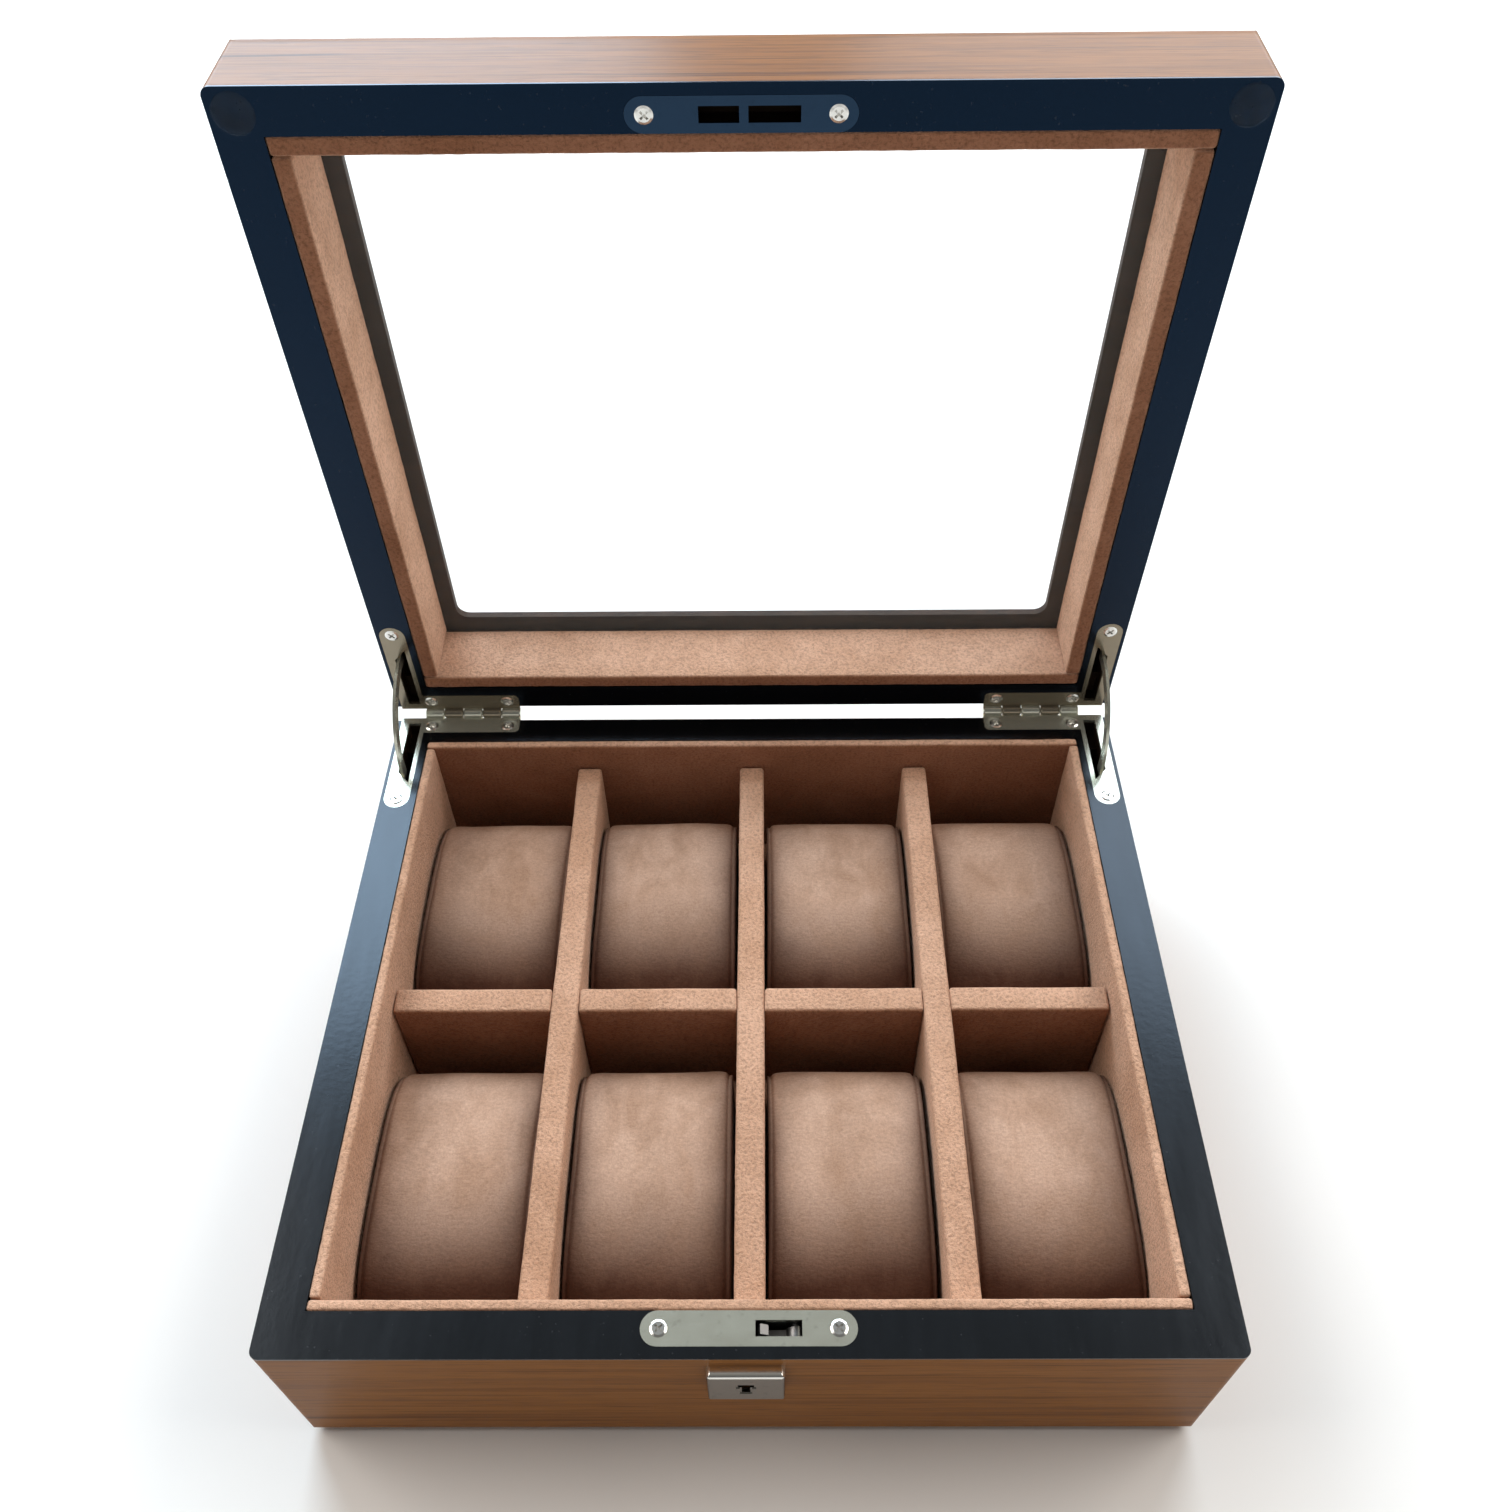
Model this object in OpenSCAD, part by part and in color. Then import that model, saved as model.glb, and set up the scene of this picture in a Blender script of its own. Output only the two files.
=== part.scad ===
// Watch box with a glazed, hinged and locking lid, eight compartments and eight lift-out watch cushions.
// Frame: +Z up, front of the box at -Y, origin at the middle of the underside of the base.
// The model rests with its lid standing open; the modules of the lid are drawn closed and turned open by lid_pose().

/* [Box] */
// Outer width of the box, left to right
body_w = 300; // [240:1:380]
// Outer depth of the box, front to back
body_d = 262; // [210:1:330]
// Height of the base, from the surface it stands on to its rim
base_h = 76.5; // [60:0.5:110]
// Height of the lid, from its rim to its top
lid_h = 33.5; // [27.5:0.5:60]
// Thickness of the wooden walls
wall = 14.25; // [11.8:0.05:18]
// Radius of the upright corners
corner_r = 3; // [1:0.5:6]
// Radius of the base's lower edges and the lid's upper edges
edge_r = 5; // [2:0.5:5.8]
// Bevel along the rear edges that face each other
rear_bevel = 2.5; // [1.5:0.1:3]
// Thickness of the black edge band on each rim
rim_t = 0.6; // [0.4:0.1:1.2]
// Gap between the two rims with the lid shut
rim_gap = 0.8; // [0.6:0.1:1.5]
// Angle at which the open lid stops
lid_open = 88; // [80:1:100]

/* [Base inside] */
// Thickness of the felt under the base
felt_t = 1; // [0.6:0.1:2]
// Distance of the felt from the outside of the walls
felt_inset = 6; // [5:0.5:12]
// Thickness of the bottom panel
panel_t = 6; // [4:0.5:9]
// Thickness of the lined pad on the bottom panel
pad_t = 2; // [1:0.5:4]
// Thickness of the base's lining boards
lining_t = 3.6; // [2.5:0.1:6]
// Gap where two lining boards or dividers meet
lining_joint = 0.3; // [0.1:0.1:0.6]
// Thickness of the dividers
divider_t = 10; // [6:0.5:13]
// Depth of the dividers' tops below the rim
divider_drop = 13; // [6:0.5:22]

/* [Cushions] */
// Gap at each end of a cushion
cushion_side_gap = 0.6; // [0.4:0.1:3]
// Gap in front of a cushion
cushion_front_gap = 2; // [0.5:0.5:8]
// Gap behind a cushion
cushion_back_gap = 8; // [4:0.5:25]
// Depth of a cushion's crown below the rim
cushion_drop = 23; // [15:0.5:32]
// Gap under a cushion
cushion_under_gap = 0.3; // [0.3:0.1:1]
// Radius of a cushion's upper front and back edges
cushion_top_r = 19; // [10:0.5:20]
// Radius of a cushion's lower front and back edges
cushion_foot_r = 9; // [4:0.5:14]

/* [Lid inside] */
// Thickness of the lid's lining boards
lid_lining_t = 6; // [3:0.1:8]
// Thickness of the wooden frame around the window
frame_t = 6; // [6:0.5:8]
// Width of the frame that shows inside the lining
frame_lip = 5; // [2:0.5:10]
// Corner radius of the window
window_r = 5; // [2:0.5:12]
// Thickness of the glass
glass_t = 3; // [2:0.5:4]
// How far the glass reaches behind the lining
glass_over = 3; // [1:0.5:5]
// Gap around the glass in its rebate
glass_gap = 0.3; // [0.1:0.1:1]
// Radius of the clear bumper pads
bumper_r = 6.1; // [3:0.1:6.5]
// Distance from the lid's outside to a bumper pad's centre
bumper_inset = 7.6; // [7:0.1:9]
// Thickness of the bumper pads
bumper_t = 0.7; // [0.3:0.1:0.7]

/* [Hinges] */
// Distance of the hinge pin's axis behind the rear wall
pin_out = 1.4; // [1:0.1:2]
// Radius of the hinge pin
pin_r = 1; // [0.8:0.05:1.3]
// Radial clearance of the pin in the lid's knuckles
pin_clear = 0.04; // [0.02:0.01:0.08]
// Radius of the knuckles
knuckle_r = 2.35; // [2:0.05:2.9]
// Gap between two knuckles
knuckle_gap = 0.3; // [0.05:0.05:0.3]
// Chamfer at the ends of each knuckle
knuckle_edge = 0.45; // [0.1:0.05:0.6]
// Length of the whole row of knuckles
knuckle_row = 40.5; // [30:0.5:50]
// Width of a hinge leaf along the rear rim
leaf_w = 50.3; // [45:0.1:60]
// Distance from the pin's axis to the leaf's inner edge
leaf_d = 10.7; // [8:0.1:13]
// Radius of the leaf's inner front corner
leaf_r = 2; // [0.5:0.1:3]
// Thickness of the hinge leaves
leaf_t = 1.5; // [1:0.1:2]
// Distance of a hinge from the outside of the side wall
leaf_inset = 1.4; // [1:0.1:1.6]
// Width of the arm along the side rim
arm_w = 10.2; // [8:0.1:10.4]
// Distance from the pin's axis to the arm's rounded end
arm_l = 51.2; // [44:0.1:62]
// Width of the slot in the arm
arm_slot_w = 5; // [4:0.1:5.4]
// Middle radius of the curved stay
stay_r = 31.2; // [26:0.1:31.5]
// Radial width of the stay
stay_w = 4.6; // [3:0.1:5]
// Thickness of the stay
stay_t = 1.2; // [0.8:0.1:2]
// Angle by which each end of the stay stays inside its slot
stay_over = 8; // [6:0.5:10]
// Height of the catch at each end of the stay
stay_catch = 2; // [1:0.1:2.5]

/* [Screws] */
// Radius of the screw heads
head_r = 2.7; // [2:0.05:3]
// Height of the countersunk screw heads
head_h = 1.4; // [1:0.1:1.5]
// Height by which the screw heads stand proud
head_rise = 0.25; // [0.05:0.05:0.25]
// Radius of the screw shanks
shank_r = 1.2; // [0.8:0.05:1.4]
// Length of the screws
screw_l = 12; // [8:0.5:16]
// Clearance around fitted metal pieces
fit_clear = 0.1; // [0.05:0.05:0.3]

/* [Lock] */
// Length of the lock's faceplate and of the strike plate
plate_l = 66; // [54:0.5:80]
// Width of the faceplate and of the strike plate
plate_w = 10.6; // [9:0.1:11.5]
// Thickness of the faceplate
plate_t = 1.6; // [1.2:0.1:2]
// Thickness of the strike plate
strike_t = 1.2; // [0.8:0.1:1.5]
// Distance of the plate screws from the middle
plate_screw_x = 27.4; // [22:0.1:28]
// Length of the slot that the hook comes out of
hook_slot_l = 14.2; // [13.8:0.1:15]
// Width of the slots in both plates
hook_slot_w = 4.8; // [4:0.1:5.4]
// Distance of that slot's near end from the middle
hook_slot_x = 2; // [1:0.1:3]
// Length of the strike plate's second slot
spare_slot_l = 11.5; // [8:0.5:13]
// Thickness of the hook
hook_t = 3; // [2:0.1:3.5]
// Radius of the hook's inner side
hook_in_r = 9.6; // [9.6:0.05:9.8]
// Width of the hook's curved finger
hook_finger = 2.8; // [2:0.1:2.9]
// Width of the lock case
case_w = 39; // [36:0.5:46]
// Thickness of the lock case
case_d = 7.4; // [6.5:0.1:8]
// Height of the lock case
case_h = 29; // [27:0.5:34]
// Thickness of the lock case's sheet
case_t = 0.9; // [0.6:0.1:1.2]
// Distance of the key's axis from the middle
key_x = -1; // [-3:0.5:1]
// Depth of the key's axis below the rim
key_drop = 17.3; // [16:0.1:19]
// Radius of the key barrel
barrel_r = 4.2; // [3.6:0.1:4.4]
// Radial clearance of the barrel and of the hook's pivot
lock_clear = 0.06; // [0.02:0.01:0.1]
// Width of the escutcheon
scut_w = 24; // [20:0.5:30]
// Height of the escutcheon
scut_h = 22; // [18:0.5:24]
// How far the escutcheon stands out
scut_t = 3.6; // [2:0.1:5]
// Radius of the escutcheon's edges
scut_r = 1.4; // [0.4:0.1:1.4]

/* [Hidden] */
$fn = 96;

// colours
walnut = [0.42, 0.26, 0.15];
lacquer = [0.05, 0.06, 0.07];
velvet = [0.72, 0.54, 0.43];
suede = [0.55, 0.43, 0.36];
nickel = [0.75, 0.74, 0.70];
felt = [0.10, 0.09, 0.09];
clear = [0.85, 0.92, 0.92, 0.35];

// outside of the box
half_w = body_w / 2;
half_d = body_d / 2;
in_w = half_w - wall;              // half the width between the walls
in_d = half_d - wall;              // half the depth between the walls
lid_z = base_h + rim_gap;          // the lid's rim, shut
lid_top = lid_z + lid_h;
cut = 1;                           // how far a cutting shape reaches past a face

// inside of the base
panel_z = felt_t + panel_t;        // top of the bottom panel
floor_z = panel_z + pad_t;         // top of the lined floor
well_w = in_w - lining_t;          // half the lined width
well_d = in_d - lining_t;          // half the lined depth
divider_z = base_h - divider_drop; // top of the dividers
columns = 4;
comp_w = (2 * well_w - (columns - 1) * divider_t) / columns;
comp_d = (2 * well_d - divider_t) / 2;
column_pitch = comp_w + divider_t;

// cushions
cushion_w = comp_w - 2 * cushion_side_gap;
cushion_d = comp_d - cushion_front_gap - cushion_back_gap;
cushion_z = floor_z + cushion_under_gap;
cushion_h = base_h - cushion_drop - cushion_z;

// inside of the lid
frame_z = lid_top - frame_t;       // underside of the window frame
lid_well_w = in_w - lid_lining_t;
lid_well_d = in_d - lid_lining_t;

// hinges, drawn on the right and mirrored to the left
pin_y = half_d + pin_out;
pin_z = base_h + rim_gap / 2;
leaf_x2 = half_w - leaf_inset;     // outer side of the leaf and the arm
leaf_x1 = leaf_x2 - leaf_w;        // inner end of the leaf
arm_x = leaf_x2 - arm_w / 2;       // middle of the arm
leaf_y1 = pin_y - leaf_d;          // front edge of the leaf
leaf_y2 = pin_y - knuckle_r - 0.1; // rear edge of the leaf, just clear of the other leaf's knuckles
arm_y = pin_y - arm_l + arm_w / 2; // centre of the arm's round end
knuckles = 5;
knuckle_pitch = knuckle_row / knuckles;
knuckle_l = knuckle_pitch - knuckle_gap;
knuckle_x = leaf_x1 + 0.1;         // where the row of knuckles begins
knuckle_root = 0.5;                // how far a knuckle's tongue runs into the leaf
leaf_screws = [[leaf_x1 + 5, leaf_y1 + 3.8], [leaf_x1 + 37, leaf_y1 + 3.8], [arm_x, arm_y - 0.8]];
stay_out_r = stay_r + stay_w / 2;
stay_in_r = stay_r - stay_w / 2;
stay_half = lid_open / 2 + stay_over;
slot_tip = 0.4;                    // gap between the stay and the slanted front end of its slot
slot_slant = 5.5;                  // how much longer the slot is on its inner side
slot_share = 0.66;                 // part of the slot's width on the inner side of the stay
slot_x1 = arm_x - slot_share * arm_slot_w;
slot_x2 = slot_x1 + arm_slot_w;
slot_y1 = pin_y - stay_out_r - slot_tip + slot_slant * (slot_x2 - arm_x - stay_t / 2) / arm_slot_w;
slot_y2 = half_d - rear_bevel - 1.6;
pocket_room = 1;                   // room round the stay in the wood
pocket_y1 = pin_y - stay_out_r - stay_catch - pocket_room;
pocket_y2 = pin_y - stay_in_r * cos(stay_half) + pocket_room;
pocket_deep = (stay_out_r + stay_catch) * sin(stay_half) + slot_tip - rim_gap / 2;
pocket_shallow = 6;                // depth of the hollow under the whole slot
catch_room = 0.15;                 // play between the stay's catch and the leaf

// screws
tip_l = 2;                         // length of the screw's point
tip_r = 0.3;
head_bevel = 0.7;                  // width of the bevel round the head's top
recess_l = 3;                      // the cross recess in the head
recess_w = 0.7;
recess_deep = 0.8;

// lock
plate_y = -(in_d + plate_w / 2);   // middle line of both plates
plate_z = base_h - plate_t;
spare_slot_gap = 2.6;              // bridge between the strike plate's two slots, less hook_slot_x
strike_spare = 0.6;                // how much longer the strike plate's slot is than the faceplate's
pivot_x = hook_slot_x + hook_slot_l - 1.7;
pivot_z = base_h - 6;
pivot_r = 1.5;
hook_out_r = hook_in_r + hook_finger;
hook_hub_r = 3.2;
hook_rest = 153;                   // angle of the hook's tip at rest, from +X
hook_web = [183, 215];             // angles of the web that carries the finger
key_z = base_h - key_drop;
nib_r = 6.2;                       // reach of the barrel's drive nib
nib_a = 20;                        // half the nib's angle
case_room = 0.3;                   // room round the lock case in the wood
keyway_bar = [5, 2.6];
keyway_stem = [2.6, 7.4];
keyway_rim = 0.6;                  // width of the recess round the escutcheon's keyway
keyway_sink = 0.3;                 // depth of that recess
strike_pocket = [-13.5, 22.3, 6];  // the hollow behind the strike plate: left end, right end, depth
strike_room = 0.4;                 // how much wider the hollow is than the slots

// plain shapes

module rounded_rect(w, d, r) {
  square([w - 2 * r, d], center = true);
  square([w, d - 2 * r], center = true);
  for (sx = [-1, 1], sy = [-1, 1])
    translate([sx * (w / 2 - r), sy * (d / 2 - r)]) circle(r);
}

// upright outline with its two lower corners rounded
module round_bottom(w, h, r) {
  translate([-w / 2, r]) square([w, h - r]);
  translate([-w / 2 + r, 0]) square([w - 2 * r, h]);
  for (s = [-1, 1]) translate([s * (w / 2 - r), r]) circle(r);
}

// the box's outside, standing on z = 0, with its lower edges rounded
module rounded_block(h) {
  intersection() {
    linear_extrude(h) rounded_rect(body_w, body_d, corner_r);
    rotate([90, 0, 0]) linear_extrude(body_d, center = true) round_bottom(body_w, h, edge_r);
    rotate([90, 0, 90]) linear_extrude(body_w, center = true) round_bottom(body_d, h, edge_r);
  }
}

module box_between(a, b) {
  translate(a) cube(b - a);
}

module stadium(l, w) {
  square([l - w, w], center = true);
  for (s = [-1, 1]) translate([s * (l - w) / 2, 0]) circle(w / 2);
}

// sector of a ring, from angle a to angle b
module ring_sector(r1, r2, a, b) {
  far = 2 * r2;
  mid = (a + b) / 2;
  intersection() {
    difference() {
      circle(r2);
      if (r1 > 0) circle(r1);
    }
    polygon([[0, 0], far * [cos(a), sin(a)], far * [cos(mid), sin(mid)], far * [cos(b), sin(b)]]);
  }
}

// one wall's share of the corners, mitred; side 0 front, 1 right, 2 back, 3 left
module mitre_prism(side, z1, z2) {
  a = side % 2 == 0 ? [half_w, half_d] : [half_d, half_w];
  b = side % 2 == 0 ? [in_w, in_d] : [in_d, in_w];
  rotate([0, 0, 90 * side]) translate([0, 0, z1]) linear_extrude(z2 - z1)
    polygon([[-a.x, -a.y], [a.x, -a.y], [b.x, -b.y], [-b.x, -b.y]]);
}

// the lid is drawn shut and stands open
module lid_pose() {
  translate([0, pin_y, pin_z]) rotate([-lid_open, 0, 0]) translate([0, -pin_y, -pin_z]) children();
}

// turns what lies on the base's rim over onto the lid's rim
module flip_to_lid() {
  translate([0, 0, 2 * pin_z]) mirror([0, 0, 1]) children();
}

module both_sides() {
  children();
  mirror([1, 0, 0]) children();
}

// screws

module screw() {
  difference() {
    union() {
      translate([0, 0, -head_h]) cylinder(h = head_h, r1 = shank_r, r2 = head_r);
      cylinder(h = head_rise, r1 = head_r, r2 = head_r - head_bevel);
      translate([0, 0, -screw_l + tip_l]) cylinder(h = screw_l - tip_l - head_h / 2, r = shank_r);
      translate([0, 0, -screw_l]) cylinder(h = tip_l, r1 = tip_r, r2 = shank_r);
    }
    for (a = [45, 135])
      rotate([0, 0, a]) translate([-recess_l / 2, -recess_w / 2, -recess_deep])
        cube([recess_l, recess_w, recess_deep + cut]);
  }
}

module screw_hole() {
  translate([0, 0, -screw_l - cut / 2]) cylinder(h = screw_l + cut / 2, r = shank_r);
  translate([0, 0, -head_h]) cylinder(h = head_h, r1 = shank_r, r2 = head_r);
  cylinder(h = cut, r = head_r);
}

module at_hinge_screws() {
  for (at = leaf_screws) translate([at.x, at.y, base_h]) children();
}

module at_plate_screws(z) {
  for (s = [-1, 1]) translate([s * plate_screw_x, plate_y, z]) children();
}

// hinges, drawn on the right of the base

module leaf_outline(grow = 0) {
  r = leaf_r + grow;
  x = leaf_x1 - grow;
  y = leaf_y1 - grow;
  translate([x + r, y]) square([leaf_w + 2 * grow - r, leaf_y2 - y]);
  translate([x, y + r]) square([leaf_w, leaf_y2 - y - r]);
  translate([x + r, y + r]) circle(r);
  translate([leaf_x2 - arm_w - grow, arm_y]) square([arm_w + 2 * grow, leaf_y2 - arm_y]);
  translate([arm_x, arm_y]) circle(arm_w / 2 + grow);
}

module arm_slot_outline() {
  polygon([[slot_x1, slot_y2], [slot_x2, slot_y2], [slot_x2, slot_y1], [slot_x1, slot_y1 - slot_slant]]);
}

// knuckles numbered 0 to 4 from the inner end; the base has the even ones and the lid the odd ones
module knuckle(i) {
  edge = knuckle_edge;
  translate([knuckle_x + i * knuckle_pitch, pin_y, pin_z]) rotate([0, 90, 0]) {
    cylinder(h = edge, r1 = knuckle_r - edge, r2 = knuckle_r);
    translate([0, 0, edge]) cylinder(h = knuckle_l - 2 * edge, r = knuckle_r);
    translate([0, 0, knuckle_l - edge]) cylinder(h = edge, r1 = knuckle_r, r2 = knuckle_r - edge);
  }
}

module knuckle_bore(i, r) {
  translate([knuckle_x + i * knuckle_pitch - cut, pin_y, pin_z]) rotate([0, 90, 0])
    cylinder(h = knuckle_l + 2 * cut, r = r);
}

module hinge_leaf(numbers, bore_r) {
  plate_bottom = base_h - leaf_t;
  difference() {
    union() {
      difference() {
        translate([0, 0, plate_bottom]) linear_extrude(leaf_t) leaf_outline();
        translate([0, 0, plate_bottom - cut]) linear_extrude(leaf_t + 2 * cut) arm_slot_outline();
        at_hinge_screws() screw_hole();
      }
      for (i = numbers) {
        knuckle(i);
        translate([knuckle_x + i * knuckle_pitch, leaf_y2 - knuckle_root, plate_bottom])
          cube([knuckle_l, pin_y - leaf_y2 + knuckle_root, leaf_t]);
      }
    }
    for (i = numbers) knuckle_bore(i, bore_r);
  }
}

// what the hinge and its screws need cut out of the base's wall and rim
module hinge_cuts() {
  translate([0, 0, base_h - leaf_t]) linear_extrude(leaf_t + cut) {
    leaf_outline(fit_clear);
    translate([leaf_x1 - fit_clear, leaf_y2 - cut]) square([leaf_w + 2 * fit_clear, rear_bevel + 2 * cut]);
  }
  box_between([slot_x1, pocket_y1, base_h - pocket_deep], [slot_x2, pocket_y2, base_h + cut]);
  box_between([slot_x1, slot_y1 - slot_slant, base_h - pocket_shallow], [slot_x2, slot_y2, base_h + cut]);
  at_hinge_screws() screw_hole();
}

module hinge_stay() {
  lo = lid_open / 2 - stay_half;
  hi = lid_open / 2 + stay_half;
  under = asin((leaf_t + rim_gap / 2 + catch_room) / stay_out_r);
  translate([arm_x, pin_y, pin_z]) rotate([90, 0, -90]) linear_extrude(stay_t, center = true) {
    ring_sector(stay_in_r, stay_out_r, lo, hi);
    ring_sector(stay_r, stay_out_r + stay_catch, lo, max(lo + 1, -under));
    ring_sector(stay_r, stay_out_r + stay_catch, min(hi - 1, lid_open + under), hi);
  }
}

// lock, in the middle of the base's front wall

module hook_slot_outline(x, l) {
  translate([x, -hook_slot_w / 2]) square([l, hook_slot_w]);
}

module keyway_outline(grow = 0) {
  bar = keyway_bar + 2 * [grow, grow];
  stem = keyway_stem + 2 * [grow, grow];
  translate([-bar.x / 2, keyway_stem.y / 2 - keyway_bar.y - grow]) square(bar);
  translate([-stem.x / 2, -stem.y / 2]) square(stem);
}

// lays an outline in the X-Z plane, centred on the middle of the lock's thickness
module on_lock(x, z, t) {
  translate([x, plate_y, z]) rotate([90, 0, 0]) linear_extrude(t, center = true) children();
}

// what the lock needs cut out of the front wall and the rim
module lock_cuts() {
  translate([0, plate_y, plate_z]) linear_extrude(plate_t + cut)
    stadium(plate_l + 2 * fit_clear, plate_w + 2 * fit_clear);
  translate([-case_w / 2 - case_room, plate_y - (case_d + case_room) / 2, plate_z - case_h - case_room])
    cube([case_w + 2 * case_room, case_d + case_room, case_h + case_room + cut]);
  at_plate_screws(base_h) screw_hole();
  translate([key_x, -half_d - cut, key_z]) rotate([-90, 0, 0]) cylinder(h = wall - plate_w / 2 + cut, r = barrel_r);
}

// what the strike plate needs cut out of the lid's front wall and rim, drawn on the shut lid
module strike_cuts() {
  translate([0, plate_y, lid_z - cut]) linear_extrude(strike_t + cut)
    stadium(plate_l + 2 * fit_clear, plate_w + 2 * fit_clear);
  box_between(
    [strike_pocket[0], plate_y - hook_slot_w / 2 - strike_room, lid_z],
    [strike_pocket[1], plate_y + hook_slot_w / 2 + strike_room, lid_z + strike_t + strike_pocket[2]]);
  flip_to_lid() at_plate_screws(base_h) screw_hole();
}

// base

module base_shell() {
  difference() {
    translate([0, 0, felt_t]) rounded_block(base_h - rim_t - felt_t);
    box_between([-in_w, -in_d, 0], [in_w, in_d, base_h + cut]);
    rear_bevel_cut();
    both_sides() hinge_cuts();
    lock_cuts();
  }
}

// bevel along the base's rear upper edge
module rear_bevel_cut() {
  reach = rear_bevel + cut;
  translate([0, half_d - rear_bevel, base_h]) rotate([90, 0, 90])
    linear_extrude(body_w + 2 * cut, center = true)
      polygon([[-cut, cut], [reach, -reach], [reach, cut]]);
}

module base_wall(side) {
  color(walnut) intersection() {
    base_shell();
    mitre_prism(side, 0, base_h);
  }
}

module base_front_wall() { base_wall(0); }
module base_right_wall() { base_wall(1); }
module base_back_wall() { base_wall(2); }
module base_left_wall() { base_wall(3); }

module base_rim() {
  color(lacquer) difference() {
    translate([0, 0, base_h - rim_t]) linear_extrude(rim_t) difference() {
      rounded_rect(body_w, body_d, corner_r);
      square([2 * in_w, 2 * in_d], center = true);
    }
    rear_bevel_cut();
    both_sides() hinge_cuts();
    lock_cuts();
  }
}

module base_bottom_panel() {
  color(walnut) box_between([-in_w, -in_d, felt_t], [in_w, in_d, panel_z]);
}

module base_felt() {
  color(felt) linear_extrude(felt_t)
    rounded_rect(body_w - 2 * felt_inset, body_d - 2 * felt_inset, corner_r);
}

module floor_pad() {
  color(velvet) box_between([-in_w, -in_d, panel_z], [in_w, in_d, floor_z]);
}

// a lining board across the front or, with side = 1, the back
module lining_across(side, deep, z1, z2) {
  color(velvet) translate([0, side * (in_d - deep / 2), (z1 + z2) / 2])
    cube([2 * in_w, deep, z2 - z1], center = true);
}

// a lining board along the left or, with side = 1, the right
module lining_along(side, deep, z1, z2) {
  color(velvet) translate([side * (in_w - deep / 2), 0, (z1 + z2) / 2])
    cube([deep, 2 * (in_d - deep - lining_joint), z2 - z1], center = true);
}

module base_lining_front() { lining_across(-1, lining_t, floor_z, base_h); }
module base_lining_back() { lining_across(1, lining_t, floor_z, base_h); }
module base_lining_left() { lining_along(-1, lining_t, floor_z, base_h); }
module base_lining_right() { lining_along(1, lining_t, floor_z, base_h); }

// a divider from front to back, notched from below over the cross divider
module divider(n) {
  half_t = divider_t / 2;
  notch = half_t + lining_joint;
  middle_z = (floor_z + divider_z) / 2 + lining_joint / 2;
  color(velvet) translate([n * column_pitch, 0, 0]) difference() {
    box_between([-half_t, -well_d + lining_joint, floor_z], [half_t, well_d - lining_joint, divider_z]);
    box_between([-half_t - cut, -notch, floor_z - cut], [half_t + cut, notch, middle_z]);
  }
}

module divider_left() { divider(-1); }
module divider_centre() { divider(0); }
module divider_right() { divider(1); }

module divider_cross() {
  half_t = divider_t / 2;
  notch = half_t + lining_joint;
  middle_z = (floor_z + divider_z) / 2 - lining_joint / 2;
  color(velvet) difference() {
    box_between([-well_w + lining_joint, -half_t, floor_z], [well_w - lining_joint, half_t, divider_z]);
    for (n = [-1:1])
      translate([n * column_pitch, 0, 0])
        box_between([-notch, -half_t - cut, middle_z], [notch, half_t + cut, divider_z + cut]);
  }
}

// cushions: column 0 to 3 from the left, row 0 in front and 1 behind
module cushion(column, row) {
  x = -well_w + comp_w / 2 + column * column_pitch;
  front_y = row == 0 ? -well_d : divider_t / 2;
  y = front_y + cushion_front_gap + cushion_d / 2;
  color(suede) translate([x, y, cushion_z]) rotate([90, 0, 90]) linear_extrude(cushion_w, center = true) {
    foot = cushion_d - 2 * cushion_foot_r;
    top = cushion_d - 2 * cushion_top_r;
    translate([-foot / 2, 0]) square([foot, cushion_h / 2]);
    translate([-top / 2, cushion_h / 2]) square([top, cushion_h / 2]);
    translate([-cushion_d / 2, cushion_foot_r])
      square([cushion_d, cushion_h - cushion_foot_r - cushion_top_r]);
    for (s = [-1, 1]) {
      translate([s * foot / 2, cushion_foot_r]) circle(cushion_foot_r);
      translate([s * top / 2, cushion_h - cushion_top_r]) circle(cushion_top_r);
    }
  }
}

// hinges and lock as they are fitted

module hinge_leaf_base_right() { color(nickel) hinge_leaf([0, 2, 4], pin_r); }
module hinge_leaf_base_left() { mirror([1, 0, 0]) hinge_leaf_base_right(); }

module hinge_pin_right() {
  color(nickel) translate([knuckle_x, pin_y, pin_z]) rotate([0, 90, 0])
    cylinder(h = knuckle_row - knuckle_gap, r = pin_r);
}
module hinge_pin_left() { mirror([1, 0, 0]) hinge_pin_right(); }

module hinge_screws_base() { color(nickel) both_sides() at_hinge_screws() screw(); }

module hinge_stay_right() { color(nickel) hinge_stay(); }
module hinge_stay_left() { mirror([1, 0, 0]) hinge_stay_right(); }

module lock_faceplate() {
  color(nickel) difference() {
    translate([0, plate_y, plate_z]) linear_extrude(plate_t) difference() {
      stadium(plate_l, plate_w);
      hook_slot_outline(hook_slot_x, hook_slot_l);
    }
    at_plate_screws(base_h) screw_hole();
  }
}

module lock_case() {
  color(nickel) difference() {
    translate([-case_w / 2, plate_y - case_d / 2, plate_z - case_h]) cube([case_w, case_d, case_h]);
    translate([-case_w / 2 + case_t, plate_y - case_d / 2 + case_t, plate_z - case_h + case_t])
      cube([case_w - 2 * case_t, case_d - 2 * case_t, case_h]);
    on_lock(key_x, key_z, case_d + 2 * cut) circle(barrel_r + lock_clear);
  }
}

module lock_pivot() {
  color(nickel) on_lock(pivot_x, pivot_z, case_d - 2 * case_t) circle(pivot_r);
}

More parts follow.
